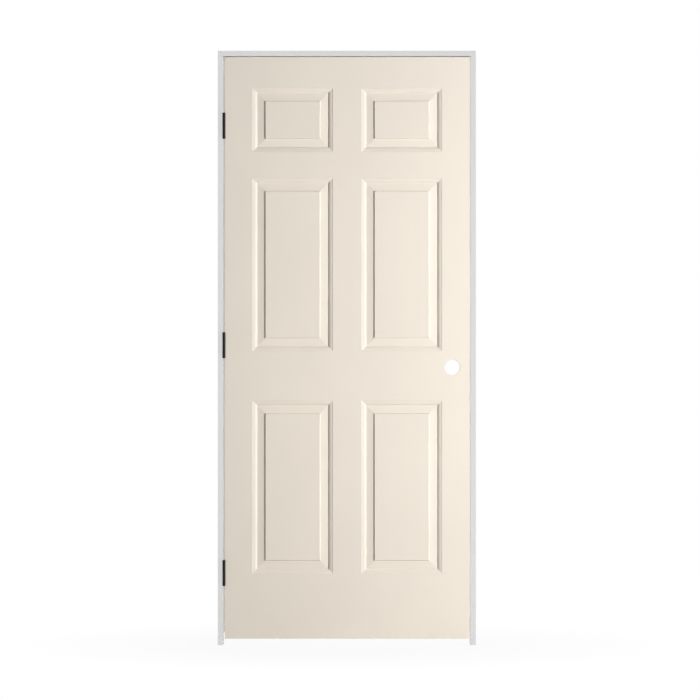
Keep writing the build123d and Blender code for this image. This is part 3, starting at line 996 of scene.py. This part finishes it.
class DOOR_OT_screws(bpy.types.Operator):
    """Makes one countersunk cross-recess screw and drives a copy into each hole"""

    bl_idname = "door.screws"
    bl_label = "Hinge screws"

    def execute(self, context):
        sizes = context.scene.door_hinges
        black = black_steel("black_coated_screw_steel", SCREW_GLEAM, context.scene.door_finish)
        narrowing_share = sizes.shank_radius / sizes.head_radius
        bpy.ops.mesh.primitive_cylinder_add(
            vertices=SCREW_SIDES,
            radius=sizes.head_radius,
            depth=sizes.head_rim,
            location=(-sizes.head_rim * HALF, 0, 0),
            rotation=(0, QUARTER_TURN, 0),
        )
        screw = add_tool("screw")
        open_edit(screw)
        select_faces(screw, lambda face: face.normal.x < -FACING_SHARE)
        for run, share in (
            (sizes.head_depth, narrowing_share),
            (sizes.shank_length, 1),
            (sizes.tip_length, TIP_SHARE),
        ):
            bpy.ops.mesh.extrude_region_move(TRANSFORM_OT_translate={"value": (-run, 0, 0)})
            bpy.ops.transform.resize(value=(1, share, share), center_override=(0, 0, 0))
        close_edit()
        for angle in (0, QUARTER_TURN):
            bpy.ops.mesh.primitive_cube_add(size=1, location=(0, 0, 0), rotation=(angle, 0, 0))
            slot = bpy.context.object
            slot.scale = (2 * sizes.recess_depth, sizes.recess_width, sizes.recess_length)
            cut(screw, add_tool("recess"))
        pick(screw)
        bpy.ops.object.shade_smooth_by_angle(angle=SMOOTH_ANGLE)
        coat(screw, black)
        for hinge in HINGES:
            for kind, (face_x, turn, body) in LEAVES.items():
                for number, centre in enumerate(screw_places(hinge, kind, face_x, sizes), 1):
                    driven = screw.copy()
                    driven.data = screw.data.copy()
                    driven.name = f"{hinge}_hinge_{kind}_screw_{number}"
                    bpy.context.scene.collection.objects.link(driven)
                    driven.data.transform(Matrix.Translation(centre) @ Matrix.Rotation(turn, 4, "Z"))
                    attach(driven, body)
        bpy.data.objects.remove(screw)
        return {"FINISHED"}


class DOOR_OT_stage(bpy.types.Operator):
    """Sets up the floor, the light and the camera"""

    bl_idname = "door.stage"
    bl_label = "Studio"

    def execute(self, context):
        studio = context.scene.door_studio
        self.lay_floor(studio)
        self.light_room(context.scene, studio)
        timber = [frame["nodes"][name] for name in FRAME_TIMBER]
        all_but_frame = self.group("all_but_frame", timber, "EXCLUDE")
        frame_only = self.group("frame_only", timber, "INCLUDE")
        for name in ("near", "far"):
            place = Vector(getattr(studio, f"{name}_place"))
            size, power = getattr(studio, f"{name}_size"), getattr(studio, f"{name}_power")
            for where, side in (("front", 1), ("behind", -1)):
                spot = Vector((place.x, side * place.y, place.z))
                lamp = self.hang_lamp(f"{name}_lamp_{where}", spot, size, power)
                lamp.light_linking.receiver_collection = all_but_frame
        place = studio.frame_place
        for number, (across, along) in enumerate(((1, 1), (-1, 1), (1, -1), (-1, -1)), 1):
            spot = Vector((across * place.x, along * place.y, place.z))
            lamp = self.hang_lamp(f"frame_lamp_{number}", spot, studio.frame_size, studio.frame_power)
            lamp.light_linking.receiver_collection = frame_only
            lamp.light_linking.blocker_collection = frame_only
        self.hang_lamp("front_lamp", studio.front_place, studio.front_size, studio.front_power)
        self.hang_lamp("top_lamp", studio.top_place, studio.top_size, studio.top_power)
        self.set_camera(context.scene, studio)
        context.scene.view_settings.view_transform = "Standard"
        return {"FINISHED"}

    def group(self, name, pieces, state):
        """Pieces that a lamp is told to light, or to leave out."""
        made = bpy.data.collections.new(name)
        for piece in pieces:
            made.objects.link(piece)
        for member in made.collection_objects:
            member.light_linking.link_state = state
        return made

    def seen_directly(self, tree):
        """1 for the rays that show the background itself, in a mirror or through glass too."""
        path = add_node(tree, "ShaderNodeLightPath")
        seen = path.outputs["Is Camera Ray"]
        for kind in ("Is Glossy Ray", "Is Transmission Ray"):
            seen = add_node(tree, "ShaderNodeMath", {0: seen, 1: path.outputs[kind]}, operation="MAXIMUM")
        return seen

    def lay_floor(self, studio):
        """A pale round floor that fades to white away from the door."""
        bpy.ops.object.select_all(action="DESELECT")
        bpy.ops.mesh.primitive_circle_add(
            vertices=FLOOR_SIDES,
            radius=studio.floor_radius,
            fill_type="NGON",
            location=(0, 0, -FLOOR_DROP),
        )
        floor = add_tool("floor")
        open_edit(floor)
        bpy.ops.mesh.select_all(action="SELECT")
        fade_start, fade_end = studio.shade_reach
        bpy.ops.mesh.inset(thickness=studio.floor_radius - fade_end)
        close_edit()
        material, tree = new_material("pale_studio_floor")
        place = add_node(tree, "ShaderNodeTexCoord").outputs["Object"]
        away = add_node(tree, "ShaderNodeVectorMath", {0: place}, operation="LENGTH")
        fade = add_node(
            tree,
            "ShaderNodeMapRange",
            {"Value": away.outputs["Value"], **ranges((fade_start, fade_end), (1 - studio.shade_share, 1))},
        )
        white = add_node(tree, "ShaderNodeMath", {0: self.seen_directly(tree), 1: fade}, operation="MULTIPLY")
        lit = add_node(tree, "ShaderNodeBsdfDiffuse", {"Color": solid(studio.floor_colour)})
        glow = add_node(tree, "ShaderNodeEmission", {"Strength": 1})
        surface = add_node(tree, "ShaderNodeMixShader", {0: white, 1: lit, 2: glow})
        add_node(tree, "ShaderNodeOutputMaterial", {"Surface": surface})
        coat(floor, material)

    def light_room(self, scene, studio):
        """Even light from all round, against plain white."""
        scene.world = bpy.data.worlds.new("white_room")
        scene.world.use_nodes = True
        tree = scene.world.node_tree
        tree.nodes.clear()
        even = add_node(tree, "ShaderNodeBackground", {"Strength": studio.sky_level, "Color": (1, 1, 1, 1)})
        white = add_node(tree, "ShaderNodeBackground", {"Strength": 1, "Color": (1, 1, 1, 1)})
        both = add_node(tree, "ShaderNodeMixShader", {0: self.seen_directly(tree), 1: even, 2: white})
        add_node(tree, "ShaderNodeOutputWorld", {"Surface": both})

    def hang_lamp(self, name, place, size, power):
        """A square lamp that faces the middle of the door."""
        middle = Vector((0, front_y, (cad_low.z + cad_high.z) * HALF))
        aim = (middle - Vector(place)).to_track_quat("-Z", "Y")
        bpy.ops.object.light_add(type="AREA", location=place, rotation=aim.to_euler())
        lamp = bpy.context.object
        lamp.name = name
        lamp.data.size = size
        lamp.data.energy = power
        return lamp

    def set_camera(self, scene, studio):
        """A level camera with a long lens, square to the slab."""
        bpy.ops.object.camera_add(
            location=(studio.camera_x, front_y - studio.camera_distance, studio.camera_height),
            rotation=(QUARTER_TURN, 0, 0),
        )
        scene.camera = bpy.context.object
        lens = scene.camera.data
        lens.lens = lens.sensor_width * studio.camera_distance / studio.picture_width
        lens.clip_end = 2 * studio.floor_radius


OPERATORS = (
    DOOR_OT_skins,
    DOOR_OT_frame,
    DOOR_OT_timber,
    DOOR_OT_core,
    DOOR_OT_staples,
    DOOR_OT_leaves,
    DOOR_OT_pins,
    DOOR_OT_screws,
    DOOR_OT_stage,
)


class DOOR_PT_sidebar(bpy.types.Panel):
    """Lists the steps of the door's finish"""

    bl_label = "Prehung door"
    bl_idname = "DOOR_PT_sidebar"
    bl_space_type = "VIEW_3D"
    bl_region_type = "UI"
    bl_category = "Door"

    def draw(self, context):
        for operator in OPERATORS:
            self.layout.operator(operator.bl_idname)
        for group in (context.scene.door_finish, context.scene.door_hinges, context.scene.door_studio):
            for name in group.__annotations__:
                self.layout.prop(group, name)


GROUPS = {"door_finish": DoorFinish, "door_hinges": DoorHinges, "door_studio": DoorStudio}
CLASSES = (*GROUPS.values(), *OPERATORS, DOOR_PT_sidebar)


def register():
    for each in CLASSES:
        bpy.utils.register_class(each)
    for name, group in GROUPS.items():
        setattr(bpy.types.Scene, name, bpy.props.PointerProperty(type=group))


def unregister():
    for name in GROUPS:
        delattr(bpy.types.Scene, name)
    for each in reversed(CLASSES):
        bpy.utils.unregister_class(each)


def main():
    register()
    bpy.ops.door.skins()
    bpy.ops.door.frame()
    bpy.ops.door.timber()
    bpy.ops.door.core()
    bpy.ops.door.staples()
    bpy.ops.door.leaves()
    bpy.ops.door.pins()
    bpy.ops.door.screws()
    bpy.ops.door.stage()


if __name__ == "__main__":
    main()
